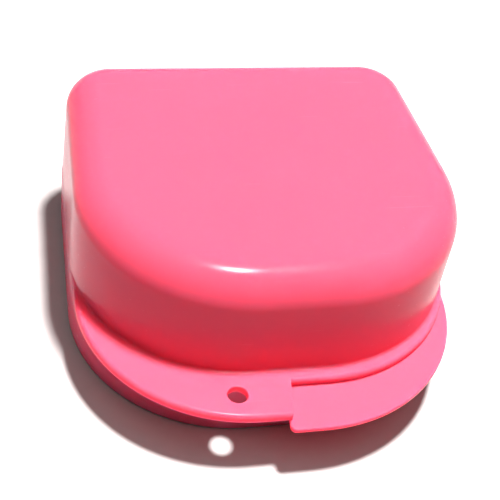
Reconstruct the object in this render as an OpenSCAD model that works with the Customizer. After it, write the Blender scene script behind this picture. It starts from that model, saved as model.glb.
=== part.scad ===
// Mouthguard with a hinged D-shaped carrying case.
// The case is a shallow tray and a deep lid, joined at the back by a pinned hinge.
// Each half has a thumb tab over its own side of the front, and the guard lies inside.
// Frame: millimetres, +Z up, the opening front towards -Y, origin at the middle of the tray's underside.

/* [Tray] */
// Width of the tray across its front corners
tray_w = 78.4; // [64:0.2:96]
// Depth of the tray from its front to its back wall
tray_d = 73.6; // [60:0.2:90]
// Height of the tray up to the parting line
tray_h = 12.8; // [10:0.1:14]
// Thickness of the tray's floor
floor_t = 1.8; // [1.4:0.1:2.6]
// Thickness of the walls of both halves
wall = 1.6; // [1.3:0.1:2]
// How much further in each side is at the back corners than at the front corners
side_taper = 1.8; // [0:0.1:4]
// Radius of the two large front corners
front_r = 32; // [24:0.5:34]
// Radius of the two back corners
back_r = 9.7; // [9:0.1:12]
// Radius round the outside of the tray's floor
foot_r = 1.2; // [0.8:0.1:2.4]
// Radius round the inside of the tray's floor
floor_r = 2; // [1:0.1:3]
// How much the tray's wall leans in from its top to its floor
tray_draft = 0.3; // [0.1:0.1:0.6]

/* [Lid] */
// Height of the lid from its rim to its top
lid_h = 25; // [20.5:0.1:31]
// Radius round the lid's top edge
edge_r = 6.9; // [4:0.1:7.2]
// How much the lid's wall leans in from its rim to its top
lid_draft = 0.1; // [0.1:0.1:0.6]
// How far the tray stands out in front of the lid's wall
ledge_front = 2.9; // [2.6:0.1:4.5]
// How far the tray stands out beside and behind the lid's wall
ledge_side = 0.1; // [0.1:0.1:1]
// Gap at the parting line
parting_gap = 0.1; // [0.05:0.05:0.2]

/* [Rim and thumb tabs] */
// Thickness of the lid's rim and thumb tab
rim_t = 1.8; // [1.4:0.1:2.4]
// Reach of the lid's thumb tab in front of the tray
lid_tab_reach = 8.2; // [6.5:0.1:12]
// Where the lid's thumb tab ends beside the middle
lid_tab_end = -1; // [-4:0.5:0]
// Thickness of the tray's thumb tab
tray_tab_t = 1.6; // [1.2:0.1:2.4]
// Reach of the tray's thumb tab in front of the tray
tray_tab_reach = 10.4; // [8:0.1:14]
// Radius round the tray's thumb tab
tray_tab_r = 34; // [26:0.5:36]
// How much narrower the tray's thumb tab is than the tray, on its side
tray_tab_in = 1.1; // [0:0.1:2]
// Radius of the free corner of the tray's thumb tab
tray_tab_corner = 1.5; // [0.5:0.1:3]
// How far the tray's thumb tab runs on under the lid's
tab_lap = 0.7; // [0.3:0.1:2]
// Diameter of the hanging hole in the lid's thumb tab
hole_d = 4; // [3:0.1:5]
// Distance of the hanging hole from the middle
hole_x = 11.5; // [8:0.1:16]
// Distance of the hanging hole's centre from the front edge of its tab
hole_inset = 5.7; // [4:0.1:5.8]

/* [Lip and snap] */
// Depth of the lid's locating lip inside the tray
lip_h = 2.4; // [1.8:0.1:3.2]
// Thickness of the locating lip
lip_t = 1.2; // [1:0.1:1.6]
// Gap between the lip and the tray's wall
lip_gap = 0.3; // [0.25:0.05:0.5]
// Length of the snap bead on the front of the lip
bead_w = 14; // [8:1:16]
// Radius of the snap bead
bead_r = 0.7; // [0.5:0.1:0.9]
// How far the bead stands out of the lip
bead_out = 0.45; // [0.35:0.05:0.55]
// Play of the bead in its groove
bead_gap = 0.3; // [0.2:0.05:0.4]

/* [Hinge] */
// Diameter of the hinge pin
pin_d = 2; // [1.6:0.1:2.4]
// Running clearance of the lid's knuckles on the pin, on the radius
pin_run = 0.05; // [0.02:0.01:0.09]
// Clearance of the tray's knuckles on the pin, on the radius
pin_hold = 0.02; // [0.01:0.01:0.04]
// Outside diameter of the knuckles
knuckle_d = 4.8; // [4:0.1:5.8]
// Gap round the knuckles, to the other half's wall and rim
knuckle_gap = 0.4; // [0.3:0.05:0.6]
// Gap between two knuckles
knuckle_side_gap = 0.3; // [0.2:0.05:0.5]
// Width of the tray's two outer knuckles
outer_knuckle_w = 6; // [5:0.5:7.5]
// Width of the lid's two knuckles
lid_knuckle_w = 9; // [7:0.5:10]
// Width of the tray's middle knuckle
mid_knuckle_w = 10; // [8:0.5:12]
// Solid end left in the blind knuckle
blind_t = 1.2; // [0.8:0.1:2]

/* [Mouthguard in its case] */
// Gap between the guard's ends and the lid's lip, at the sides
guard_side_gap = 3.2; // [1:0.1:6]
// Gap between the guard's front and the lid's wall
guard_front_gap = 7.5; // [5:0.1:9]
// Gap between the guard's ends and the lid's lip, at the back
guard_back_gap = 12; // [6:0.1:15]
// Free height between the guard's tallest wall, without its notch, and the lid
guard_headroom = 13.4; // [10.5:0.1:14]
// Gap under the guard
guard_rest_gap = 0.1; // [0.05:0.05:0.3]
// Angle at which the loose guard lies turned in the tray
guard_turn = 3; // [1:1:4]

/* [Mouthguard] */
// Half width of the trough at the front teeth
trough_front = 4; // [3.5:0.1:5]
// Half width of the trough at the molars
trough_back = 6.4; // [5.5:0.1:7]
// Height of the outer wall at the molars
outer_back_h = 12.5; // [10:0.5:15]
// Height of the inner wall at the front teeth
inner_front_h = 12.5; // [10:0.5:15]
// Height of the inner wall at the molars
inner_back_h = 9.5; // [8:0.5:12]
// Height of the outer wall at its two open ends
outer_end_h = 7; // [6.5:0.1:9]
// Height of the inner wall at its two open ends
inner_end_h = 6.5; // [6.5:0.1:8]
// Depth of the notch for the lip's frenum in the outer wall
notch_h = 3.6; // [2:0.1:5]
// Width of that notch at half its depth
notch_w = 9; // [6:0.5:12]
// Thickness of the shell's outer wall
shell_outer_t = 1.8; // [1.5:0.1:2.4]
// Thickness of the shell's inner wall
shell_inner_t = 1.6; // [1.4:0.1:2.2]
// Thickness of the shell under the bite
shell_bite_t = 2.6; // [2:0.1:3.2]
// Chamfer under the shell
shell_chamfer = 1.4; // [0.8:0.1:1.4]
// Thickness of the liner on the walls
liner_t = 1.1; // [0.8:0.1:1.4]
// Thickness of the liner on the bite
liner_bite_t = 1.6; // [1.2:0.1:2]
// Gap between the liner and the shell
liner_gap = 0.1; // [0.05:0.05:0.2]
// How far the liner stays below the shell's rims
liner_drop = 1; // [0.8:0.1:1.2]

/* [Hidden] */

pink = [1, 0.5, 0.66];
steel = [0.75, 0.76, 0.78];
guard_pink = [0.93, 0.28, 0.48];
liner_clear = [0.95, 0.9, 0.92];

corner_step = 5;  // degrees between two points of an outline's corner
edge_steps = 6;   // facets across a rounded edge
stations = 36;    // lengths along the guard
eps = 0.01;       // overlap that keeps two joined volumes one
far = 200;        // larger than the whole object

split_z = tray_h;                     // parting plane: top of the tray
rim_z = split_z + parting_gap;        // underside of the lid's rim
lid_top = rim_z + lid_h;

// An outline is [front half width, back half width, front y, back y, front radius, back radius].
tray_line = [tray_w / 2, tray_w / 2 - side_taper, -tray_d / 2, tray_d / 2, front_r, back_r];
function inset(d, e) = [d[0] - e, d[1] - e, d[2] + e, d[3] - e, d[4] - e, d[5] - e];
function reach(d, y) = [d[0], d[1], d[2] - y, d[3], d[4], d[5]];

lid_line = reach(inset(tray_line, ledge_side), ledge_side - ledge_front);
lid_cavity_line = inset(lid_line, wall);
tray_cavity_line = inset(tray_line, wall);
lip_line = inset(tray_cavity_line, lip_gap);
mouth_line = inset(lip_line, lip_t);
lid_tab_line = reach(tray_line, lid_tab_reach);
tray_tab_line = [tray_line[0] - tray_tab_in, tray_line[1] - tray_tab_in,
    tray_line[2] - tray_tab_reach, tray_line[3], tray_tab_r, back_r];

hinge_y = tray_d / 2 + knuckle_d / 2 + knuckle_gap;
hinge_z = split_z;
knuckle_ws = [outer_knuckle_w, lid_knuckle_w, mid_knuckle_w, lid_knuckle_w, outer_knuckle_w];
hinge_w = 2 * outer_knuckle_w + 2 * lid_knuckle_w + mid_knuckle_w + 4 * knuckle_side_gap;
function knuckle_x(i) = i == 0 ? -hinge_w / 2
    : knuckle_x(i - 1) + knuckle_ws[i - 1] + knuckle_side_gap;

hole_y = lid_tab_line[2] + hole_inset;
bead_y = lip_line[2] + bead_r - bead_out;
bead_z = split_z - lip_h / 2;

// ---------------------------------------------------------------- outlines

function mix(a, b, f) = a + (b - a) * f;

function arc(c, r, a0, a1) = let (n = max(2, ceil((a1 - a0) / corner_step)))
    [for (i = [0:n]) let (a = mix(a0, a1, i / n)) c + r * [cos(a), sin(a)]];

// Centres of the front and back corner on the right side.
function front_c(d) = [d[0] - d[4], d[2] + d[4]];
function back_c(d) = [d[1] - d[5], d[3] - d[5]];
// Direction that the straight right side faces.
function side_angle(d) = let (v = front_c(d) - back_c(d))
    atan2(v[1], v[0]) + acos((d[5] - d[4]) / norm(v));

function d_points(d) = let (
    t = side_angle(d), right = concat(arc(front_c(d), d[4], -90, t), arc(back_c(d), d[5], t, 90)), n = len(right))
    concat(right, [for (i = [n - 1:-1:0]) [-right[i][0], right[i][1]]]);

module d_plate(d, z0, z1) {
    translate([0, 0, z0]) linear_extrude(z1 - z0) polygon(d_points(d));
}

// A solid through a list of closed rings that have the same number of points.
module ring_loft(rings) {
    n = len(rings[0]);
    m = len(rings);
    sides = [for (j = [0:m - 2]) for (i = [0:n - 1]) let (a = j * n + i, b = j * n + (i + 1) % n)
        each [[a, b + n, b], [a, a + n, b + n]]];
    polyhedron([for (r = rings) each r],
        concat([[for (i = [0:n - 1]) i]], sides, [[for (i = [n - 1:-1:0]) (m - 1) * n + i]]));
}

// A D-shaped block from z = 0 to h whose top edge is rounded by e and whose wall leans in by lean.
module d_block(d, h, e, lean) {
    levels = concat([[0, 0]], [for (k = [0:edge_steps]) let (a = 90 * k / edge_steps)
        [lean + e * (1 - cos(a)), h - e + e * sin(a)]]);
    ring_loft([for (v = levels) [for (p = d_points(inset(d, v[0]))) [p[0], p[1], v[1]]]]);
}

// ---------------------------------------------------------------- hinge

module x_rod(x0, x1, r) {
    translate([x0, hinge_y, hinge_z]) rotate([0, 90, 0]) cylinder(r = r, h = x1 - x0, $fn = 48);
}

// A knuckle and the web that joins it to its half, between two heights.
module knuckle(i, z0, z1) {
    x_rod(knuckle_x(i), knuckle_x(i) + knuckle_ws[i], knuckle_d / 2);
    translate([knuckle_x(i), tray_d / 2 - wall / 2, z0])
        cube([knuckle_ws[i], hinge_y - tray_d / 2 + wall / 2, z1 - z0]);
}

module hinge_pin() {
    color(steel) x_rod(knuckle_x(0) + blind_t, hinge_w / 2, pin_d / 2);
}

// ---------------------------------------------------------------- case halves

module case_base() {
    color(pink) difference() {
        union() {
            translate([0, 0, split_z]) mirror([0, 0, 1]) d_block(tray_line, tray_h, foot_r, tray_draft);
            translate([0, 0, split_z - tray_tab_t]) linear_extrude(tray_tab_t) tray_tab_area();
            for (i = [0, 2, 4]) knuckle(i, hinge_z - knuckle_d / 2, hinge_z);
        }
        translate([0, 0, split_z + eps]) mirror([0, 0, 1])
            d_block(tray_cavity_line, tray_h - floor_t + eps, floor_r, tray_draft);
        translate([-bead_w / 2 - bead_gap, bead_y, bead_z]) rotate([0, 90, 0])
            cylinder(r = bead_r + bead_gap, h = bead_w + 2 * bead_gap, $fn = 32);
        x_rod(knuckle_x(0) + blind_t, far, pin_d / 2 + pin_hold);
    }
}

// The tray's thumb tab: the right side of the front, with a rounded free corner.
module tray_tab_area() {
    offset(r = tray_tab_corner, $fn = 24) offset(delta = -tray_tab_corner) difference() {
        polygon(d_points(tray_tab_line));
        translate([lid_tab_end - tab_lap - far, -far]) square([far, 2 * far]);
        polygon(d_points(inset(tray_line, wall / 2)));
    }
}

module case_lid() {
    color(pink) difference() {
        union() {
            translate([0, 0, rim_z]) d_block(lid_line, lid_h, edge_r, lid_draft);
            d_plate(tray_line, rim_z, rim_z + rim_t);
            lid_tab();
            d_plate(lip_line, split_z - lip_h, rim_z + eps);
            translate([-bead_w / 2, bead_y, bead_z]) rotate([0, 90, 0])
                cylinder(r = bead_r, h = bead_w, $fn = 32);
            for (i = [1, 3]) knuckle(i, rim_z, rim_z + rim_t);
        }
        translate([0, 0, rim_z + rim_t]) d_block(
            lid_cavity_line, lid_h - rim_t - wall, edge_r - wall, lid_draft);
        lid_mouth();
        translate([-hole_x, hole_y, 0]) cylinder(d = hole_d, h = far, $fn = 48);
        x_rod(-far, far, pin_d / 2 + pin_run);
    }
}

// The lid's thumb tab: the left side of the front.
module lid_tab() {
    translate([0, 0, rim_z]) linear_extrude(rim_t) intersection() {
        polygon(d_points(lid_tab_line));
        translate([lid_tab_end - far, -far]) square([far, far]);
    }
}

// The way into the lid through its lip and rim.
module lid_mouth() {
    d_plate(mouth_line, split_z - lip_h - 1, rim_z);
    translate([0, 0, rim_z - eps]) linear_extrude(rim_t + 2 * eps) intersection() {
        polygon(d_points(mouth_line));
        polygon(d_points(lid_cavity_line));
    }
}

// ---------------------------------------------------------------- mouthguard

// The guard fills the room that the case leaves it, less its named gaps.
guard_front_y = lid_cavity_line[2] + guard_front_gap;
guard_back_y = mouth_line[3] - guard_back_gap;
guard_z = floor_t + guard_rest_gap;
outer_front_h = lid_top - wall - guard_z - guard_headroom;
arch_w = mouth_line[1] - guard_side_gap - shell_outer_t - trough_back;
arch_d = guard_back_y - guard_front_y - shell_outer_t - trough_front;

// Point and outward normal of the dental arch at angle a, from -90 to 90.
function arch_point(a) = [arch_w * sin(a), guard_back_y - arch_d * cos(a)];
function arch_normal(a) = let (n = [sin(a) / arch_w, -cos(a) / arch_d]) n / norm(n);
// 0 at the front teeth and 1 at the molars.
function back_share(a) = pow(abs(sin(a)), 1.5);
function trough(a) = mix(trough_front, trough_back, back_share(a));
function notch(a) = notch_h * exp(-pow(arch_w * sin(a) / (notch_w / 2), 2) * ln(2));
// The walls fall away over the last few degrees, so the ends are open ramps.
function end_share(a) = pow(max(0, (abs(a) - 78) / 12), 2);
function outer_h(a) =
    mix(mix(outer_front_h, outer_back_h, back_share(a)) - notch(a), outer_end_h, end_share(a));
function inner_h(a) = mix(mix(inner_front_h, inner_back_h, back_share(a)), inner_end_h, end_share(a));

// A section is a list of [outwards, up].
lip_chamfer = 0.5;
function shell_section(a) = let (
    w = trough(a), o = w + shell_outer_t, i = w + shell_inner_t, c = shell_chamfer, e = lip_chamfer,
    ho = outer_h(a), hi = inner_h(a)) [
    [o - c, 0], [o, c], [o, ho - e], [o - e, ho], [w + e, ho], [w, ho - e], [w, shell_bite_t],
    [-w, shell_bite_t], [-w, hi - e], [-w - e, hi], [e - i, hi], [-i, hi - e], [-i, c], [c - i, 0]];

function liner_section(a) = let (
    w = trough(a) - liner_gap, v = w - liner_t, z0 = shell_bite_t + liner_gap, z1 = z0 + liner_bite_t,
    ho = outer_h(a) - liner_drop, hi = inner_h(a) - liner_drop) [
    [w, z0], [w, ho], [v, ho], [v, z1], [-v, z1], [-v, hi], [-w, hi], [-w, z0]];

// Places one section at angle a of the arch.
function placed(section, a) = let (p = arch_point(a), n = arch_normal(a))
    [for (q = section) [p[0] + n[0] * q[0], p[1] + n[1] * q[0], guard_z + q[1]]];

guard_angles = [for (j = [0:stations]) -90 + 180 * j / stations];

module guard_shell() {
    color(guard_pink) rotate([0, 0, guard_turn]) ring_loft([for (a = guard_angles) placed(shell_section(a), a)]);
}

module guard_liner() {
    color(liner_clear) rotate([0, 0, guard_turn]) ring_loft([for (a = guard_angles) placed(liner_section(a), a)]);
}

case_base();
case_lid();
hinge_pin();
guard_shell();
guard_liner();
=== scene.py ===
"""Pink moulded case with a boil-and-bite mouthguard lying loose in it.

Sizes are in millimetres. Every piece stands where the CAD frame has it: x to the right, y to the hinge, z up,
with the tray's foot at z = 0.
"""

import logging
import math
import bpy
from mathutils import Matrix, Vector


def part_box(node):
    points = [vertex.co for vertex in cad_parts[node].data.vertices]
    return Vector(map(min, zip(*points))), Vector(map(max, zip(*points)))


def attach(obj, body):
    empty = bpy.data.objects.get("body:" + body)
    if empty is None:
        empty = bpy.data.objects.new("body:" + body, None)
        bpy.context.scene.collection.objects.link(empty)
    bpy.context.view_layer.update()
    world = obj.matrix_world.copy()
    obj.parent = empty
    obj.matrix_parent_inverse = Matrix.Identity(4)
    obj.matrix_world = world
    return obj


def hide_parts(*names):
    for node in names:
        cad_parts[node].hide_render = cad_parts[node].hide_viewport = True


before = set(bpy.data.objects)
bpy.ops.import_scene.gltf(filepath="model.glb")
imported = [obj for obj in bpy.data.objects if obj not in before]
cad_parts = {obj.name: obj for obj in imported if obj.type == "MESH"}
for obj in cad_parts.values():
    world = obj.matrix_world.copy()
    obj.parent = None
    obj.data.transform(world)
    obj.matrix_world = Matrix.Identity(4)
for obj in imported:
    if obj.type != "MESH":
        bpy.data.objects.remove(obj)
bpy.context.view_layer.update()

from collections.abc import Callable, Iterator
from contextlib import contextmanager
from dataclasses import dataclass, field
from enum import Enum

import bmesh
import bpy
from mathutils import Matrix, Vector

LOG = logging.getLogger("mouthguard_case")
MM = 0.001
HAIR = 0.01  # mm, within which two heights count as the same
Point = tuple[float, float]


# ---------------------------------------------------------------- modelling by hand


class Part(Enum):
    """What of a mesh is picked."""

    VERT = "VERT"
    EDGE = "EDGE"
    FACE = "FACE"


class Join(Enum):
    """How a tool solid acts on another."""

    ADD = "UNION"
    CUT = "DIFFERENCE"
    KEEP = "INTERSECT"


def focus(obj: bpy.types.Object) -> None:
    """Selects one object alone and makes it the active one.

    Args:
        obj: the object that the next operators act on.
    """
    bpy.ops.object.select_all(action="DESELECT")
    obj.select_set(True)
    bpy.context.view_layer.objects.active = obj


def adopt(name: str) -> bpy.types.Object:
    """Names the primitive just added and puts its place and size into its mesh.

    Args:
        name: the object's and the mesh's name.

    Returns:
        The primitive's object, at the origin, unturned and unscaled.
    """
    obj = bpy.context.active_object
    obj.name = obj.data.name = name
    focus(obj)
    bpy.ops.object.transform_apply(location=True, rotation=True, scale=True)
    return obj


@contextmanager
def editing(obj: bpy.types.Object, part: Part = Part.EDGE) -> Iterator[None]:
    """Opens an object in edit mode with nothing selected, and closes it again.

    Args:
        obj: the mesh object to edit.
        part: what the selection is made of.
    """
    focus(obj)
    bpy.ops.object.mode_set(mode="EDIT")
    bpy.ops.mesh.select_mode(type=part.value)
    bpy.ops.mesh.select_all(action="DESELECT")
    try:
        yield
    finally:
        bpy.ops.object.mode_set(mode="OBJECT")


def pick(part: Part, test: Callable[[Vector], bool]) -> int:
    """Selects, in the mesh being edited, the parts whose corners all pass a test.

    Args:
        part: vertices, edges or faces.
        test: takes a corner's place in mm.

    Returns:
        How many parts are now selected.
    """
    bpy.ops.mesh.select_mode(type=part.value)
    bpy.ops.mesh.select_all(action="DESELECT")
    mesh = bpy.context.edit_object.data
    shape = bmesh.from_edit_mesh(mesh)
    found = 0
    for item in {Part.VERT: shape.verts, Part.EDGE: shape.edges, Part.FACE: shape.faces}[part]:
        corners = [item] if part is Part.VERT else item.verts
        if all(test(v.co / MM) for v in corners):
            item.select_set(True)
            found += 1
    shape.select_flush_mode()
    bmesh.update_edit_mesh(mesh)
    return found


def bevel(size: float, steps: int) -> None:
    """Rounds the selected edges.

    Args:
        size: distance in mm from the edge to where the rounding starts.
        steps: facets across the rounding.
    """
    bpy.ops.mesh.bevel(offset_type="OFFSET", offset=size * MM, segments=steps, profile=0.5,
                       affect="EDGES", clamp_overlap=False)


def resize(x: float, y: float, z: float, centre: Vector) -> None:
    """Scales the selection about a point in mm."""
    bpy.ops.transform.resize(value=(x, y, z), center_override=tuple(centre * MM), orient_type="GLOBAL")


def block(name: str, low: tuple[float, float, float], high: tuple[float, float, float]) -> bpy.types.Object:
    """Adds a cube primitive between two corners.

    Args:
        name: the object's name.
        low: lowest corner, mm.
        high: highest corner, mm.

    Returns:
        The new object.
    """
    a, b = Vector(low) * MM, Vector(high) * MM
    bpy.ops.mesh.primitive_cube_add(size=1, location=(a + b) / 2, scale=b - a)
    return adopt(name)


def rod(name: str, ends: tuple[float, float], centre: Point, radius: float, sides: int = 64,
        rounding: float = 0.0) -> bpy.types.Object:
    """Adds a round bar along x.

    Args:
        name: the object's name.
        ends: lowest and highest x, mm.
        centre: (y, z) of its axis, mm.
        radius: mm.
        sides: facets round it.
        rounding: radius of its two end edges, mm.

    Returns:
        The new object.
    """
    place = Vector(((ends[0] + ends[1]) / 2, *centre)) * MM
    bpy.ops.mesh.primitive_cylinder_add(vertices=sides, radius=radius * MM, depth=(ends[1] - ends[0]) * MM,
                                        location=place, rotation=(0, math.pi / 2, 0))
    obj = adopt(name)
    if rounding:
        with editing(obj):
            for end in ends:
                pick(Part.EDGE, lambda p: abs(p.x - end) < HAIR)
                bevel(rounding, 4)
    return obj


def apply_modifier(obj: bpy.types.Object, kind: str, **settings: object) -> None:
    """Adds a modifier and applies it.

    Args:
        obj: the object to change.
        kind: the modifier's type.
        settings: its attributes.
    """
    modifier = obj.modifiers.new(kind.lower(), kind)
    for name, value in settings.items():
        setattr(modifier, name, value)
    focus(obj)
    bpy.ops.object.modifier_apply(modifier=modifier.name)


def combine(obj: bpy.types.Object, how: Join, *tools: bpy.types.Object) -> bpy.types.Object:
    """Joins, cuts or clips a solid with others, which are used up.

    Args:
        obj: the solid that stays.
        how: what the tools do to it.
        tools: the other solids.

    Returns:
        The solid that stays.
    """
    for tool in tools:
        apply_modifier(obj, "BOOLEAN", operation=how.value, solver="EXACT", object=tool)
        bpy.data.objects.remove(tool)
    return obj


def finish_surface(obj: bpy.types.Object, degrees: float = 32.0) -> bpy.types.Object:
    """Merges doubles and shades an object smooth, with flat faces left flat and sharp edges sharp.

    Args:
        obj: the object.
        degrees: angle from which an edge stays sharp.

    Returns:
        The same object.
    """
    with editing(obj, Part.VERT):
        bpy.ops.mesh.select_all(action="SELECT")
        bpy.ops.mesh.remove_doubles(threshold=0.002 * MM)
        bpy.ops.mesh.normals_make_consistent(inside=False)
    focus(obj)
    bpy.ops.object.shade_smooth_by_angle(angle=math.radians(degrees))
    apply_modifier(obj, "WEIGHTED_NORMAL", mode="FACE_AREA", weight=60, keep_sharp=True)
    return obj


# ---------------------------------------------------------------- the case's outline


@dataclass(frozen=True)
class Outline:
    """The case's D-shaped outline: a flat back, two straight sides and a round front, in mm."""

    front_half: float
    back_half: float
    front: float
    back: float
    front_r: float
    back_r: float

    def inset(self, gap: float) -> "Outline":
        """The outline that lies a gap inside this one."""
        return Outline(self.front_half - gap, self.back_half - gap, self.front + gap, self.back - gap,
                       self.front_r - gap, self.back_r - gap)

    def reach(self, front: float) -> "Outline":
        """The same outline with its front moved to another y."""
        return Outline(self.front_half, self.back_half, front, self.back, self.front_r, self.back_r)

    def slope(self) -> float:
        """Direction that the straight right side faces, in radians from x."""
        across = (self.front_half - self.front_r) - (self.back_half - self.back_r)
        along = (self.front + self.front_r) - (self.back - self.back_r)
        return math.atan2(along, across) + math.acos((self.back_r - self.front_r) / math.hypot(across, along))

    def side(self, y: float) -> float:
        """How far out the straight side, drawn on past its ends, is at y."""
        turn = self.slope()
        reach = (math.cos(turn) * (self.front_half - self.front_r)
                 + math.sin(turn) * (self.front + self.front_r) + self.front_r)
        return (reach - math.sin(turn) * y) / math.cos(turn)

    def middle(self, z: float) -> Vector:
        """The outline's middle at height z."""
        return Vector((0, (self.front + self.back) / 2, z))

    def shrink(self, gap: float) -> Point:
        """Scales in x and y that move the outline in by about a gap."""
        return 1 - gap / self.front_half, 1 - 2 * gap / (self.back - self.front)


@dataclass
class DBlock:
    """A D-shaped block with a wall that leans in and rounded edges, built from a cube."""

    name: str
    line: Outline
    low: float
    high: float
    lean: float = 0.0
    upper: float = 0.0
    lower: float = 0.0
    upside_down: bool = False
    front_steps: int = 44
    back_steps: int = 18

    def build(self) -> bpy.types.Object:
        """Tapers a cube, rounds its four upright edges, leans its wall in and rounds its rims.

        Returns:
            The block's object.
        """
        line = self.line
        obj = block(self.name, (-line.side(line.front), line.front, self.low),
                    (line.side(line.front), line.back, self.high))
        turn = line.slope()
        quarter = math.pi / 2
        with editing(obj):
            pick(Part.VERT, lambda p: p.y > line.back - HAIR)
            resize(line.side(line.back) / line.side(line.front), 1, 1, line.middle(self.low))
            for sign in (-1, 1):
                pick(Part.EDGE, lambda p: p.x * sign > 0 and p.y < line.front + HAIR)
                bevel(line.front_r * math.tan((quarter + turn) / 2), self.front_steps)
                pick(Part.EDGE, lambda p: p.x * sign > 0 and p.y > line.back - HAIR)
                bevel(line.back_r * math.tan((quarter - turn) / 2), self.back_steps)
            top, foot = (self.low, self.high) if self.upside_down else (self.high, self.low)
            if self.lean:
                pick(Part.VERT, lambda p: abs(p.z - top) < HAIR)
                resize(*line.shrink(self.lean), 1, line.middle(top))
            for level, size in ((self.high, self.upper), (self.low, self.lower)):
                if size:
                    pick(Part.EDGE, lambda p: abs(p.z - level) < HAIR)
                    bevel(size, max(3, round(size * 2.4)))
        return obj


def flare(obj: bpy.types.Object, line: Outline, level: float, radius: float, up: float, beyond: float,
          outwards: float = 1.0) -> None:
    """Draws the flat end of a block on along a quarter round, then straight on.

    Args:
        obj: the block.
        line: its outline at that end.
        level: height of the end, mm.
        radius: of the quarter round, mm.
        up: 1 for the upper end, -1 for the lower.
        beyond: how far it goes straight on after the round, mm.
        outwards: 1 to widen, as a cutter for a rounded rim, or -1 to narrow, as a fillet at a wall's foot.
    """
    steps = 5
    with editing(obj, Part.FACE):
        done_out = done_up = 0.0
        for k in range(1, steps + 2):
            share = min(k / steps, 1) * math.pi / 2
            out, rise = radius * (1 - math.cos(share)), radius * math.sin(share)
            if outwards < 0:
                out, rise = rise, out
            if k > steps:
                rise += beyond
                if not beyond:
                    break
            here = level + up * done_up
            pick(Part.FACE, lambda p: abs(p.z - here) < HAIR / 4)
            bpy.ops.mesh.extrude_region_move(
                TRANSFORM_OT_translate={"value": (0, 0, up * (rise - done_up) * MM)})
            resize(*line.inset(-outwards * done_out).shrink(-outwards * (out - done_out)), 1, line.middle(here))
            done_out, done_up = out, rise


def cut_tab(point: Point, slant: float, front: float, keep_right: bool) -> Vector:
    """Keeps one side of the front of the block being edited, cut along a slanting line.

    Args:
        point: a point of the line, mm.
        slant: its angle from y, in degrees.
        front: the block's front, mm.
        keep_right: whether the right side stays, or the left.

    Returns:
        Where the line meets the front, mm.
    """
    turn = math.radians(slant)
    bpy.ops.mesh.select_all(action="SELECT")
    bpy.ops.mesh.bisect(plane_co=(point[0] * MM, point[1] * MM, 0), plane_no=(math.cos(turn), -math.sin(turn), 0),
                        clear_inner=keep_right, clear_outer=not keep_right, use_fill=True)
    bpy.ops.mesh.select_all(action="SELECT")
    bpy.ops.mesh.bisect(plane_co=(0, 0, 0), plane_no=(0, 1, 0), clear_outer=True, use_fill=True)
    return Vector((point[0] + (front - point[1]) * math.tan(turn), front))


# ---------------------------------------------------------------- finishes


def linear(code: str) -> tuple[float, float, float, float]:
    """Turns an sRGB hex value such as "F4506F" into linear RGBA.

    Args:
        code: six hex digits.

    Returns:
        Red, green, blue and an alpha of 1.
    """
    parts = [int(code[i:i + 2], 16) / 255 for i in (0, 2, 4)]
    r, g, b = [c / 12.92 if c <= 0.04045 else ((c + 0.055) / 1.055) ** 2.4 for c in parts]
    return r, g, b, 1.0


def per_metre(size: float) -> float:
    """A texture's scale for features of a size in mm."""
    return 1 / (size * MM)


def add_node(tree: bpy.types.NodeTree, kind: str, sockets: dict, **settings: object) -> bpy.types.Node:
    """Adds one node to a material or world.

    Args:
        tree: the node tree.
        kind: the node's type, without its ShaderNode prefix.
        sockets: input name or number to a value, or to another node's output, which is linked.
        settings: the node's attributes.

    Returns:
        The new node.
    """
    node = tree.nodes.new("ShaderNode" + kind)
    for name, value in settings.items():
        setattr(node, name, value)
    for key, value in sockets.items():
        if isinstance(value, bpy.types.NodeSocket):
            tree.links.new(value, node.inputs[key])
        else:
            node.inputs[key].default_value = value
    return node


def new_tree(name: str) -> tuple[bpy.types.Material, bpy.types.NodeTree, bpy.types.NodeSocket]:
    """Starts an empty material.

    Args:
        name: the finish's name.

    Returns:
        The material, its empty node tree, and the socket that gives object coordinates in metres.
    """
    material = bpy.data.materials.new(name)
    material.use_nodes = True
    tree = material.node_tree
    tree.nodes.clear()
    return material, tree, add_node(tree, "TexCoord", {}).outputs["Object"]


def close_tree(tree: bpy.types.NodeTree, sockets: dict) -> bpy.types.Node:
    """Ends a material in one Principled shader.

    Args:
        tree: the material's node tree.
        sockets: the shader's inputs.

    Returns:
        The shader node.
    """
    shader = add_node(tree, "BsdfPrincipled", sockets)
    add_node(tree, "OutputMaterial", {"Surface": shader.outputs["BSDF"]})
    return shader


def ramp(tree: bpy.types.NodeTree, source: bpy.types.NodeSocket,
         stops: list[tuple[float, str]]) -> bpy.types.NodeSocket:
    """Colours a texture's value.

    Args:
        tree: the material's node tree.
        source: the value.
        stops: place from 0 to 1 and sRGB hex, in order.

    Returns:
        The colour's socket.
    """
    node = add_node(tree, "ValToRGB", {0: source})
    elements = node.color_ramp.elements
    while len(elements) < len(stops):
        elements.new(0.5)
    for element, (place, code) in zip(elements, stops):
        element.position, element.color = place, linear(code)
    return node.outputs["Color"]


def spread(tree: bpy.types.NodeTree, source: bpy.types.NodeSocket, low: float, high: float, first: float,
           last: float) -> bpy.types.NodeSocket:
    """Maps a value's range onto another, without going past its ends.

    Args:
        tree: the material's node tree.
        source: the value.
        low: where the value's range starts.
        high: where it ends.
        first: what the start becomes.
        last: what the end becomes.

    Returns:
        The mapped value's socket.
    """
    sockets = {"Value": source, "From Min": low, "From Max": high, "To Min": first, "To Max": last}
    return add_node(tree, "MapRange", sockets).outputs["Result"]


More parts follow.
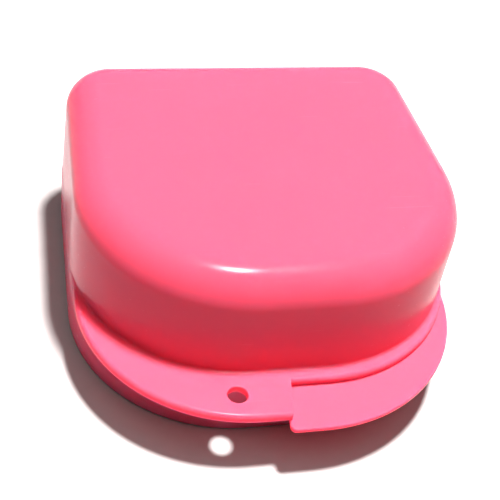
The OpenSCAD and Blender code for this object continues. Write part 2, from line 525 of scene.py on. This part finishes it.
@dataclass(frozen=True)
class GlossyPolypropylene:
    """Injection-moulded polypropylene from a polished mould: an even, glossy pink that light sinks into.

    The pigment is thick enough to look solid, and handling leaves a few hairlines and specks of dust. Below the
    flange's top, the tray included, the colour is painted paler: painted light for light passing through the thin
    flange and reflected onto it. Sizes are in mm.
    """

    name: str = "glossy_moulded_polypropylene"
    pigment: str = "DE3D53"
    pigment_painted_light: str = "E2465D"
    painted_light_below: float = 14.75
    painted_light_fade: float = 0.5
    painted_light_share: float = 0.85
    flow_size: float = 26.0
    flow_share: float = 0.2
    waviness_size: float = 14.0
    waviness: float = 0.1
    scratch_length: float = 9.0
    scratch_width: float = 0.22
    scratch_turns: Point = (0.6, 2.1)
    scratch_cut: Point = (0.83, 0.88)
    scratch_depth: float = 0.006
    scratch_dull: float = 0.25
    speck_spacing: float = 9.0
    speck_size: float = 0.20
    speck_cut: Point = (0.62, 0.64)
    speck_height: float = 0.05
    speck_dull: float = 0.4
    smudge_size: float = 7.0
    smudge_gloss: Point = (0.19, 0.24)
    shine: float = 0.06
    depth: float = 14.0
    reach: tuple[float, float, float] = (1.0, 0.10, 0.15)

    def build(self) -> bpy.types.Material:
        """Makes the material: pigment flow, painted light that makes everything below the flange's top paler, faint
        mould waviness, hairline scratches and specks of dust.

        Returns:
            The material.
        """
        material, tree, place = new_tree(self.name)
        flow = add_node(tree, "TexNoise", {"Vector": place, "Scale": per_metre(self.flow_size), "Detail": 2.0})
        # Painted light: below the flange's top, the tray included, the colour is painted paler. It stands in for
        # light that comes through the thin plates of the flange and is reflected onto them.
        height = add_node(tree, "SeparateXYZ", {"Vector": place}).outputs["Z"]
        thin = spread(tree, height, self.painted_light_below * MM, (self.painted_light_below + self.painted_light_fade) * MM,
                      self.painted_light_share, 0.0)
        flow_and_painted_light = add_node(tree, "Math", {0: flow.outputs["Fac"], 1: self.flow_share, 2: thin},
                         operation="MULTIPLY_ADD")
        colour = ramp(tree, flow_and_painted_light.outputs[0], [(0.0, self.pigment), (1.0, self.pigment_painted_light)])
        # Drawn wider than a real hairline, so that it shows at all.
        scratches = None
        for turn in self.scratch_turns:
            stretch = add_node(tree, "Mapping", {
                "Vector": place, "Rotation": (0.2, 0.1, turn),
                "Scale": (self.scratch_width / self.scratch_length, 1, 1)})
            streak = add_node(tree, "TexNoise", {
                "Vector": stretch.outputs["Vector"], "Scale": per_metre(self.scratch_width * 2), "Detail": 0.0})
            line = spread(tree, streak.outputs["Fac"], *self.scratch_cut, 0, 1)
            scratches = line if scratches is None else add_node(
                tree, "Math", {0: scratches, 1: line}, operation="MAXIMUM").outputs[0]
        dust = add_node(tree, "TexVoronoi", {"Vector": place, "Scale": per_metre(self.speck_spacing)})
        dot = spread(tree, dust.outputs["Distance"], self.speck_size / self.speck_spacing / 2,
                     self.speck_size / self.speck_spacing, 1, 0)
        some = spread(tree, dust.outputs["Color"], *self.speck_cut, 0, 1)
        speck = add_node(tree, "Math", {0: dot, 1: some}, operation="MULTIPLY").outputs[0]
        smudge = add_node(tree, "TexNoise", {"Vector": place, "Scale": per_metre(self.smudge_size), "Detail": 4.0})
        base_gloss = spread(tree, smudge.outputs["Fac"], 0.35, 0.7, *self.smudge_gloss)
        worn = add_node(tree, "Math", {0: scratches, 1: self.scratch_dull, 2: base_gloss}, operation="MULTIPLY_ADD")
        dusty = add_node(tree, "Math", {0: speck, 1: self.speck_dull, 2: worn.outputs[0]},
                         operation="MULTIPLY_ADD")
        wave = add_node(tree, "TexNoise", {"Vector": place, "Scale": per_metre(self.waviness_size), "Detail": 1.0})
        swell = add_node(tree, "Bump", {"Height": wave.outputs["Fac"], "Distance": self.waviness * MM})
        groove = add_node(tree, "Bump", {"Height": scratches, "Distance": self.scratch_depth * MM,
                                         "Normal": swell.outputs[0]}, invert=True)
        grit = add_node(tree, "Bump", {"Height": speck, "Distance": self.speck_height * MM,
                                       "Normal": groove.outputs[0]})
        shader = close_tree(tree, {
            "Base Color": colour, "Roughness": dusty.outputs[0], "Normal": grit.outputs[0], "IOR": 1.49,
            "Specular IOR Level": self.shine,
            "Subsurface Weight": 1.0, "Subsurface Radius": self.reach, "Subsurface Scale": self.depth * MM,
        })
        shader.subsurface_method = "RANDOM_WALK"
        return material


@dataclass(frozen=True)
class DrawnSteel:
    """Drawn stainless wire: bright, with fine streaks along its length from the die."""

    name: str = "drawn_stainless_steel"
    bright: str = "C9CBCE"
    dark: str = "A4A7AC"
    streak_width: float = 0.12

    def build(self) -> bpy.types.Material:
        """Makes the material.

        Returns:
            The material.
        """
        material, tree, place = new_tree(self.name)
        along = add_node(tree, "Mapping", {"Vector": place, "Scale": (0.02, 1, 1)})
        streak = add_node(tree, "TexNoise", {
            "Vector": along.outputs["Vector"], "Scale": per_metre(self.streak_width), "Detail": 2.0})
        colour = ramp(tree, streak.outputs["Fac"], [(0.35, self.dark), (0.65, self.bright)])
        rough = spread(tree, streak.outputs["Fac"], 0.3, 0.7, 0.22, 0.36)
        lines = add_node(tree, "Bump", {"Height": streak.outputs["Fac"], "Distance": 0.01 * MM})
        close_tree(tree, {"Base Color": colour, "Roughness": rough, "Metallic": 1.0, "Normal": lines.outputs[0],
                          "Anisotropic": 0.5})
        return material


@dataclass(frozen=True)
class SatinEva:
    """Moulded EVA from a fine-blasted mould: rubbery, satin, with a soft bloom at grazing angles."""

    name: str = "satin_moulded_eva"
    main: str = "C92C5A"
    deep: str = "B92350"
    grain: float = 0.35
    cloud: float = 6.0

    def build(self) -> bpy.types.Material:
        """Makes the material.

        Returns:
            The material.
        """
        material, tree, place = new_tree(self.name)
        cloud = add_node(tree, "TexNoise", {"Vector": place, "Scale": per_metre(self.cloud), "Detail": 3.0})
        colour = ramp(tree, cloud.outputs["Fac"], [(0.3, self.deep), (0.7, self.main)])
        blast = add_node(tree, "TexNoise", {"Vector": place, "Scale": per_metre(self.grain), "Detail": 2.0})
        rough = spread(tree, cloud.outputs["Fac"], 0.3, 0.7, 0.38, 0.5)
        skin = add_node(tree, "Bump", {"Height": blast.outputs["Fac"], "Distance": 0.03 * MM})
        shader = close_tree(tree, {
            "Base Color": colour, "Roughness": rough, "Normal": skin.outputs[0], "IOR": 1.48,
            "Subsurface Weight": 0.35, "Subsurface Radius": (1.0, 0.3, 0.35), "Subsurface Scale": 1.0 * MM,
            "Sheen Weight": 0.15, "Sheen Roughness": 0.4,
        })
        shader.subsurface_method = "RANDOM_WALK"
        return material


@dataclass(frozen=True)
class MilkyGel:
    """Soft low-melt EVA gel: milky and half clear, slightly tacky and smooth."""

    name: str = "milky_clear_eva_gel"
    thin: str = "A38088"
    thick: str = "8E6872"
    cloud: float = 4.0

    def build(self) -> bpy.types.Material:
        """Makes the material.

        Returns:
            The material.
        """
        material, tree, place = new_tree(self.name)
        cloud = add_node(tree, "TexNoise", {"Vector": place, "Scale": per_metre(self.cloud), "Detail": 2.0})
        colour = ramp(tree, cloud.outputs["Fac"], [(0.3, self.thick), (0.7, self.thin)])
        rough = spread(tree, cloud.outputs["Fac"], 0.3, 0.7, 0.2, 0.34)
        ripple = add_node(tree, "Bump", {"Height": cloud.outputs["Fac"], "Distance": 0.12 * MM})
        shader = close_tree(tree, {
            "Base Color": colour, "Roughness": rough, "Normal": ripple.outputs[0], "IOR": 1.48,
            "Subsurface Weight": 0.9, "Subsurface Radius": (1.0, 0.7, 0.75), "Subsurface Scale": 2.0 * MM,
        })
        shader.subsurface_method = "RANDOM_WALK"
        return material


@dataclass(frozen=True)
class TableLaminate:
    """Pale laminate of a table: matt, almost even, with a hardly visible mottle."""

    name: str = "white_table_laminate"
    light: str = "A5A0A0"
    shade: str = "A29D9D"
    mottle: float = 3.0

    def build(self) -> bpy.types.Material:
        """Makes the material.

        Returns:
            The material.
        """
        material, tree, place = new_tree(self.name)
        mottle = add_node(tree, "TexNoise", {"Vector": place, "Scale": per_metre(self.mottle), "Detail": 4.0})
        colour = ramp(tree, mottle.outputs["Fac"], [(0.3, self.shade), (0.7, self.light)])
        rough = spread(tree, mottle.outputs["Fac"], 0.3, 0.7, 0.55, 0.65)
        close_tree(tree, {"Base Color": colour, "Roughness": rough, "Specular IOR Level": 0.3})
        return material


class Finishes:
    """Every finish of the object, each made once."""

    def __init__(self) -> None:
        """Builds the materials."""
        self.case = GlossyPolypropylene().build()
        self.steel = DrawnSteel().build()
        self.shell = SatinEva().build()
        self.gel = MilkyGel().build()
        self.table = TableLaminate().build()


def dress(obj: bpy.types.Object, material: bpy.types.Material, body: str, node: str) -> None:
    """Gives a finished piece its material and its place in the frame.

    Args:
        obj: the piece.
        material: its finish.
        body: the CAD body it moves with.
        node: the CAD node it stands for.
    """
    obj.data.materials.clear()
    obj.data.materials.append(material)
    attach(obj, body)
    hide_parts(node)
    triangles = sum(len(face.vertices) - 2 for face in obj.data.polygons)
    corners = [v.co for v in obj.data.vertices]
    off = max(abs(extreme(c[i] for c in corners) - corner[i]) / MM
              for extreme, corner in zip((min, max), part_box(node)) for i in range(3))
    LOG.info("%s rides on %s, %d triangles, within %.2f mm of its CAD box", obj.name, body, triangles, off)


# ---------------------------------------------------------------- the case


@dataclass(frozen=True)
class Hinge:
    """The five knuckles on one steel rod, behind the case, in mm."""

    centre: Point = (39.6, 12.8)
    knuckle_r: float = 2.4
    rod_r: float = 1.0
    play: float = 0.05
    grip: float = 0.02
    rod_ends: Point = (-19.4, 20.6)
    tray_knuckles: tuple[Point, ...] = ((-20.6, -14.6), (-5.0, 5.0), (14.6, 20.6))
    lid_knuckles: tuple[Point, ...] = ((-14.3, -5.3), (5.3, 14.3))
    web_start: float = 36.0
    rounding: float = 0.3

    def knuckle(self, name: str, ends: Point, web: Point) -> list[bpy.types.Object]:
        """Builds a knuckle and the web that joins it to its half.

        Args:
            name: the knuckle's name.
            ends: its lowest and highest x.
            web: the web's lowest and highest z.

        Returns:
            The two solids.
        """
        barrel = rod(name, ends, self.centre, self.knuckle_r, rounding=self.rounding)
        plate = block(name + "_web", (ends[0] + 0.02, self.web_start, web[0]),
                      (ends[1] - 0.02, self.centre[0], web[1]))
        return [barrel, plate]

    def bore(self, name: str, start: float, gap: float) -> bpy.types.Object:
        """The hole for the rod, from a start out to the right, with a gap round the rod."""
        return rod(name, (start, 60), self.centre, self.rod_r + gap)

    def build(self, finishes: Finishes) -> None:
        """Builds the steel rod with its two bevelled ends.

        Args:
            finishes: the object's finishes.
        """
        pin = rod("hinge_rod", self.rod_ends, self.centre, self.rod_r, sides=48, rounding=0.18)
        dress(finish_surface(pin), finishes.steel, "base", "hinge_pin")


@dataclass(frozen=True)
class Tray:
    """The case's lower half: a shallow tray with a thumb tab, in mm."""

    line: Outline = Outline(39.2, 37.4, -36.8, 36.8, 32, 9.7)
    tab_line: Outline = Outline(38.1, 36.3, -47.2, 36.8, 34, 9.7)
    height: float = 12.8
    wall: float = 1.6
    floor: float = 1.8
    foot_r: float = 1.2
    floor_r: float = 2.0
    draft: float = 0.3
    tab_t: float = 1.6
    tab_start: Point = (-2.1, -44.0)
    tab_slant: float = 9.6
    tab_corner: float = 1.5
    tab_edge: float = 0.35
    tab_under: float = 1.05
    edge: float = 0.25
    groove_r: float = 1.0
    groove_x: float = 7.3
    bead_axis: Point = (-34.65, 11.6)

    def tab(self) -> bpy.types.Object:
        """Builds the thumb tab, the right part of the front, thinned from below towards its edge."""
        low = self.height - self.tab_t
        tab = DBlock("tray_tab", self.tab_line, low, self.height).build()
        with editing(tab):
            corner = cut_tab(self.tab_start, self.tab_slant, self.tab_line.front, keep_right=True)
            pick(Part.EDGE, lambda p: (p.xy - corner).length < HAIR)
            bevel(self.tab_corner, 8)
            for level, size in ((self.height, self.tab_edge), (low, self.tab_under)):
                pick(Part.EDGE, lambda p: abs(p.z - level) < HAIR and p.y < -HAIR)
                bevel(size, 4)
        return tab

    def build(self, hinge: Hinge, finishes: Finishes) -> None:
        """Builds the tray with its tab, groove and knuckles.

        Args:
            hinge: the hinge whose knuckles it carries.
            finishes: the object's finishes.
        """
        body = DBlock("case_tray", self.line, 0, self.height, self.draft, self.edge, self.foot_r, True).build()
        combine(body, Join.ADD, self.tab())
        barrel_low = hinge.centre[1] - hinge.knuckle_r
        for i, ends in enumerate(hinge.tray_knuckles):
            combine(body, Join.ADD, *hinge.knuckle(f"tray_knuckle_{i}", ends, (barrel_low, self.height)))
        inside = self.line.inset(self.wall)
        hollow = DBlock("tray_hollow", inside, self.floor, self.height - self.edge, self.draft, 0, self.floor_r,
                        True).build()
        flare(hollow, inside, self.height - self.edge, self.edge, 1, 1.0)
        groove = rod("tray_groove", (-self.groove_x, self.groove_x), self.bead_axis, self.groove_r, 32)
        combine(body, Join.CUT, hollow, groove, hinge.bore("tray_bore", hinge.rod_ends[0], hinge.grip))
        dress(finish_surface(body), finishes.case, "base", "case_base")


@dataclass(frozen=True)
class Lid:
    """The case's deep upper half: a dome on a flat rim, with a lip, a snap bead and a thumb tab, in mm."""

    line: Outline = Outline(39.1, 37.3, -33.9, 36.7, 31.9, 9.6)
    rim_line: Outline = Outline(39.2, 37.4, -36.8, 36.8, 32, 9.7)
    lip_line: Outline = Outline(37.3, 35.5, -34.9, 34.9, 30.1, 7.8)
    tab_line: Outline = Outline(39.2, 37.4, -45.0, 36.8, 32, 9.7)
    rim_z: float = 12.9
    rim_t: float = 1.8
    top: float = 37.9
    wall: float = 1.6
    draft: float = 0.1
    edge_r: float = 6.9
    lip_z: float = 10.4
    lip_t: float = 1.2
    edge: float = 0.25
    rim_round: float = 0.85
    foot_fillet: float = 0.5
    tab_end: Point = (-1.7, -44.0)
    tab_slant: float = 9.6
    tab_cut_edge: float = 0.18
    hole: Point = (-11.5, -39.3)
    hole_r: float = 2.0
    bead_r: float = 0.7
    bead_x: float = 7.0
    bead_axis: Point = (-34.65, 11.6)

    def tab(self) -> bpy.types.Object:
        """Builds the thumb tab, the left part of the front, which ends in a clean step."""
        tab = DBlock("lid_tab", self.tab_line, self.rim_z, self.rim_z + self.rim_t, 0, self.rim_round,
                     self.edge).build()
        slant = math.radians(self.tab_slant)
        with editing(tab):
            cut_tab(self.tab_end, self.tab_slant, self.tab_line.front, keep_right=False)
            pick(Part.EDGE, lambda p: abs((p.x - self.tab_end[0]) * math.cos(slant)
                                          - (p.y - self.tab_end[1]) * math.sin(slant)) < HAIR)
            bevel(self.tab_cut_edge, 3)
        return tab

    def hole_tool(self) -> bpy.types.Object:
        """Builds the cutter for the lanyard hole, with a rounded upper and lower rim."""
        low, high = self.rim_z + self.edge, self.rim_z + self.rim_t - self.edge
        bpy.ops.mesh.primitive_cylinder_add(vertices=64, radius=self.hole_r * MM, depth=(high - low) * MM,
                                            location=Vector((*self.hole, (low + high) / 2)) * MM)
        tool = adopt("hole_tool")
        for level, up in ((high, 1), (low, -1)):
            middle = Vector((self.hole[0], self.hole[1], level))
            with editing(tool, Part.FACE):
                done = 0.0
                radius = self.hole_r
                for k in range(1, 7):
                    share = min(k / 5, 1) * math.pi / 2
                    rise = self.edge * math.sin(share) + (1.0 if k > 5 else 0.0)
                    wide = self.hole_r + self.edge * (1 - math.cos(share))
                    pick(Part.FACE, lambda p: abs(p.z - (level + up * done)) < HAIR / 4)
                    bpy.ops.mesh.extrude_region_move(
                        TRANSFORM_OT_translate={"value": (0, 0, up * (rise - done) * MM)})
                    resize(wide / radius, wide / radius, 1, middle)
                    done, radius = rise, wide
        return tool

    def hollow(self) -> list[bpy.types.Object]:
        """Builds the cutters for the dome's inside and for the way in through the rim and the lip."""
        inside = self.line.inset(self.wall)
        mouth = self.lip_line.inset(self.lip_t)
        top = self.rim_z + self.rim_t
        dome = DBlock("lid_hollow", inside, top, self.top - self.wall, self.draft, self.edge_r - self.wall).build()
        way = DBlock("lid_mouth", mouth, self.lip_z + self.edge, self.rim_z + 0.02).build()
        flare(way, mouth, self.lip_z + self.edge, self.edge, -1, 1.0)
        throat = DBlock("lid_throat", mouth, self.rim_z, top + 0.02).build()
        combine(throat, Join.KEEP, DBlock("lid_throat_front", inside, self.rim_z - 1, top + 1).build())
        return [dome, way, throat]

    def build(self, hinge: Hinge, finishes: Finishes) -> None:
        """Builds the lid with its rim, tab, lip, bead, hole and knuckles.

        Args:
            hinge: the hinge whose knuckles it carries.
            finishes: the object's finishes.
        """
        rim_top = self.rim_z + self.rim_t
        dome = DBlock("case_cover", self.line, self.rim_z + 0.5, self.top, self.draft, self.edge_r).build()
        rim = DBlock("lid_rim", self.rim_line, self.rim_z, rim_top, 0, self.rim_round, self.edge).build()
        wide = self.line.inset(-self.foot_fillet)
        cove = DBlock("lid_cove", wide, self.rim_z + 0.6, rim_top).build()
        flare(cove, wide, rim_top, self.foot_fillet, 1, 0.0, -1.0)
        combine(cove, Join.KEEP, DBlock("lid_cove_limit", self.line.inset(0.03).reach(self.rim_line.front + 1),
                                        self.rim_z, rim_top + 2).build())
        lip = DBlock("lid_lip", self.lip_line, self.lip_z, self.rim_z + 0.6, 0, 0, self.edge).build()
        bead = rod("lid_bead", (-self.bead_x, self.bead_x), self.bead_axis, self.bead_r, 32, 0.25)
        combine(dome, Join.ADD, rim, cove, self.tab(), lip, bead)
        for i, ends in enumerate(hinge.lid_knuckles):
            combine(dome, Join.ADD, *hinge.knuckle(f"lid_knuckle_{i}", ends, (self.rim_z, rim_top)))
        combine(dome, Join.CUT, *self.hollow(), self.hole_tool(), hinge.bore("lid_bore", -60, hinge.play))
        dress(finish_surface(dome), finishes.case, "lid", "case_lid")


# ---------------------------------------------------------------- the mouthguard


def rounded(corners: list[tuple[float, float, float]], steps: int = 4) -> list[Point]:
    """Rounds the corners of a closed section.

    Args:
        corners: (outwards, up, rounding) of each corner, mm.
        steps: facets across each rounding.

    Returns:
        The rounded section's points.
    """
    points = []
    for i, (x, y, r) in enumerate(corners):
        here = Vector((x, y))
        before, after = Vector(corners[i - 1][:2]) - here, Vector(corners[(i + 1) % len(corners)][:2]) - here
        reach = min(r, before.length * 0.49, after.length * 0.49)
        a, b = here + before.normalized() * reach, here + after.normalized() * reach
        for k in range(steps + 1):
            t = k / steps
            points.append(tuple(a * (1 - t) ** 2 + here * 2 * t * (1 - t) + b * t * t))
    return points


@dataclass(frozen=True)
class Mouthguard:
    """The boil-and-bite guard: a U-shaped shell whose trough holds a softer liner, in mm."""

    arch_w: float = 22.9
    arch_d: float = 40.7
    back: float = 21.7
    rest_z: float = 1.9
    turn: float = 3.0
    stations: int = 96
    trough_front: float = 4.0
    trough_back: float = 6.4
    outer_front_h: float = 21.0
    outer_back_h: float = 12.5
    outer_end_h: float = 7.0
    inner_front_h: float = 12.5
    inner_back_h: float = 9.5
    inner_end_h: float = 6.5
    notch_h: float = 3.6
    notch_w: float = 9.0
    outer_t: float = 1.8
    inner_t: float = 1.6
    bite_t: float = 2.6
    chamfer: float = 1.4
    liner_t: float = 1.1
    liner_bite_t: float = 1.6
    liner_gap: float = 0.1
    liner_drop: float = 1.0
    rear_starts: float = 78.0
    rear_length: float = 12.0

    def shares(self, a: float) -> tuple[float, float]:
        """How far angle a is towards the molars, and into the low open end, each from 0 to 1."""
        degrees = abs(math.degrees(a))
        return abs(math.sin(a)) ** 1.5, max(0.0, (degrees - self.rear_starts) / self.rear_length) ** 2

    def sizes(self, a: float) -> tuple[float, float, float]:
        """Half the trough's width, the outer wall's height and the inner wall's at angle a."""
        back, end = self.shares(a)
        width = self.trough_front + (self.trough_back - self.trough_front) * back
        notch = self.notch_h * math.exp(-((self.arch_w * math.sin(a) / (self.notch_w / 2)) ** 2) * math.log(2))
        outer = self.outer_front_h + (self.outer_back_h - self.outer_front_h) * back - notch
        inner = self.inner_front_h + (self.inner_back_h - self.inner_front_h) * back
        return width, outer + (self.outer_end_h - outer) * end, inner + (self.inner_end_h - inner) * end

    def shell_section(self, a: float) -> list[Point]:
        """The shell's section at angle a: a U with a chamfered foot and round rims."""
        w, high, low = self.sizes(a)
        out, inn, cut, foot = w + self.outer_t, w + self.inner_t, self.chamfer, self.bite_t
        return rounded([
            (out - cut, 0, 0.6), (out, cut, 0.8), (out, high, 0.75), (w, high, 0.75), (w, foot, 0.05),
            (-w, foot, 0.05), (-w, low, 0.7), (-inn, low, 0.7), (-inn, cut, 0.8), (cut - inn, 0, 0.6)])

    def liner_section(self, a: float) -> list[Point]:
        """The liner's section at angle a: a softer U with a hollow bite."""
        w, high, low = self.sizes(a)
        w -= self.liner_gap
        z0 = self.bite_t + self.liner_gap
        high, low = high - self.liner_drop, low - self.liner_drop
        inside, bed = w - self.liner_t, z0 + self.liner_bite_t
        return rounded([
            (w, z0, 0.05), (w, high, 0.45), (inside, high, 0.45), (inside, bed, 1.3),
            (-inside, bed, 1.3), (-inside, low, 0.45), (-w, low, 0.45), (-w, z0, 0.05)])

    def sweep(self, name: str, section: Callable[[float], list[Point]]) -> bpy.types.Object:
        """Draws a section along the dental arch, from one open end to the other.

        Args:
            name: the piece's name.
            section: gives the section at an angle of the arch in radians.

        Returns:
            The piece's object, turned as the guard lies in the case.
        """
        count = len(section(0))
        bpy.ops.mesh.primitive_cylinder_add(vertices=count, radius=1, depth=2, end_fill_type="NGON")
        obj = adopt(name)
        with editing(obj):
            shape = bmesh.from_edit_mesh(obj.data)
            for edge in shape.edges:
                edge.select_set(abs(edge.verts[0].co.z - edge.verts[1].co.z) > 1)
            bmesh.update_edit_mesh(obj.data)
            bpy.ops.mesh.subdivide(number_cuts=self.stations - 1)
        turn = math.radians(self.turn)
        for vertex in obj.data.vertices:
            share = (vertex.co.z + 1) / 2
            index = round(math.atan2(vertex.co.x, vertex.co.y) / math.tau * count) % count
            a = (share - 0.5) * math.pi
            out, up = section(a)[index]
            spot = Vector((self.arch_w * math.sin(a), self.back - self.arch_d * math.cos(a)))
            way = Vector((math.sin(a) / self.arch_w, -math.cos(a) / self.arch_d)).normalized()
            spot += way * out
            vertex.co = Vector((spot.x * math.cos(turn) - spot.y * math.sin(turn),
                                spot.x * math.sin(turn) + spot.y * math.cos(turn), self.rest_z + up)) * MM
        with editing(obj, Part.FACE):
            bpy.ops.mesh.select_all(action="SELECT")
            bpy.ops.mesh.normals_make_consistent(inside=False)
        return obj

    def build(self, finishes: Finishes) -> None:
        """Builds the shell and the liner in its trough.

        Args:
            finishes: the object's finishes.
        """
        shell = self.sweep("mouthguard_shell", self.shell_section)
        dress(finish_surface(shell, 40), finishes.shell, "guard", "guard_shell")
        liner = self.sweep("mouthguard_liner", self.liner_section)
        dress(finish_surface(liner, 40), finishes.gel, "guard", "guard_liner")


# ---------------------------------------------------------------- the studio


@dataclass(frozen=True)
class Lamp:
    """One soft studio light that looks at the case, placed by direction and distance."""

    name: str
    azimuth: float
    elevation: float
    distance: float
    size: Point
    power: float
    tint: str = "FFFFFF"
    is_round: bool = False
    aim: tuple[float, float, float] = (0, 0, 15)

    def build(self) -> None:
        """Adds the area light. Azimuth is from x towards y, in degrees; distance and size are in mm."""
        az, el = math.radians(self.azimuth), math.radians(self.elevation)
        way = Vector((math.cos(az) * math.cos(el), math.sin(az) * math.cos(el), math.sin(el)))
        data = bpy.data.lights.new(self.name, "AREA")
        data.shape = "ELLIPSE" if self.is_round else "RECTANGLE"
        data.size, data.size_y = self.size[0] * MM, self.size[1] * MM
        data.energy = self.power
        data.color = linear(self.tint)[:3]
        lamp = bpy.data.objects.new(self.name, data)
        lamp.location = (Vector(self.aim) + way * self.distance) * MM
        lamp.rotation_mode = "QUATERNION"
        lamp.rotation_quaternion = way.to_track_quat("Z", "Y")
        bpy.context.collection.objects.link(lamp)


@dataclass(frozen=True)
class Studio:
    """A plain table, a small key light almost overhead, a wide soft one and the camera, angles in radians."""

    azimuth: float = -0.340
    elevation: float = 0.747
    roll: float = 0.192
    target: tuple[float, float, float] = (-0.98, -0.75, 14.7)
    distance: float = 271.0
    lens: float = 92.7
    sensor: float = 36.0
    table_side: float = 8.0
    sky: str = "FFFFFF"
    sky_strength: float = 0.04
    lamps: tuple[Lamp, ...] = field(default=(
        Lamp("key_lamp", 352, 84.5, 700, (85, 85), 22.0, "FFFDFB", True),
        Lamp("ceiling_lamp", 240, 70, 900, (1300, 800), 4.5),
    ))

    def camera(self) -> None:
        """Adds the camera and makes it the scene's."""
        data = bpy.data.cameras.new("camera")
        data.lens, data.sensor_width = self.lens, self.sensor
        data.clip_start, data.clip_end = 0.01, 20
        camera = bpy.data.objects.new("camera", data)
        az, el = self.azimuth, self.elevation
        back = Vector((math.sin(az) * math.cos(el), -math.cos(az) * math.cos(el), math.sin(el)))
        right = Vector((math.cos(az), math.sin(az), 0))
        up = back.cross(right)
        across = math.cos(self.roll) * right + math.sin(self.roll) * up
        above = -math.sin(self.roll) * right + math.cos(self.roll) * up
        turn = Matrix((across, above, back)).transposed()
        camera.rotation_mode = "QUATERNION"
        camera.rotation_quaternion = turn.to_quaternion()
        camera.location = (Vector(self.target) + back * self.distance) * MM
        bpy.context.collection.objects.link(camera)
        bpy.context.scene.camera = camera

    def table(self, material: bpy.types.Material) -> None:
        """Adds the table's top.

        Args:
            material: its finish.
        """
        bpy.ops.mesh.primitive_plane_add(size=self.table_side, location=(0, 0, 0))
        top = adopt("table_top")
        top.data.materials.append(material)

    def build(self, finishes: Finishes) -> None:
        """Adds the table, the lights, the pale surroundings and the camera.

        Args:
            finishes: the object's finishes.
        """
        self.table(finishes.table)
        for lamp in self.lamps:
            lamp.build()
        world = bpy.data.worlds.new("surroundings")
        bpy.context.scene.world = world
        world.use_nodes = True
        world.node_tree.nodes.clear()
        sky = add_node(world.node_tree, "Background", {"Color": linear(self.sky), "Strength": self.sky_strength})
        add_node(world.node_tree, "OutputWorld", {"Surface": sky.outputs[0]})
        bpy.context.scene.view_settings.view_transform = "Standard"
        self.camera()


def main() -> None:
    """Builds the case and the guard piece by piece, then the studio round them."""
    logging.basicConfig(level=logging.INFO, format="%(name)s: %(message)s")
    finishes = Finishes()
    hinge = Hinge()
    hinge.build(finishes)
    Tray().build(hinge, finishes)
    Lid().build(hinge, finishes)
    Mouthguard().build(finishes)
    Studio().build(finishes)
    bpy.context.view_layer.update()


if __name__ == "__main__":
    main()
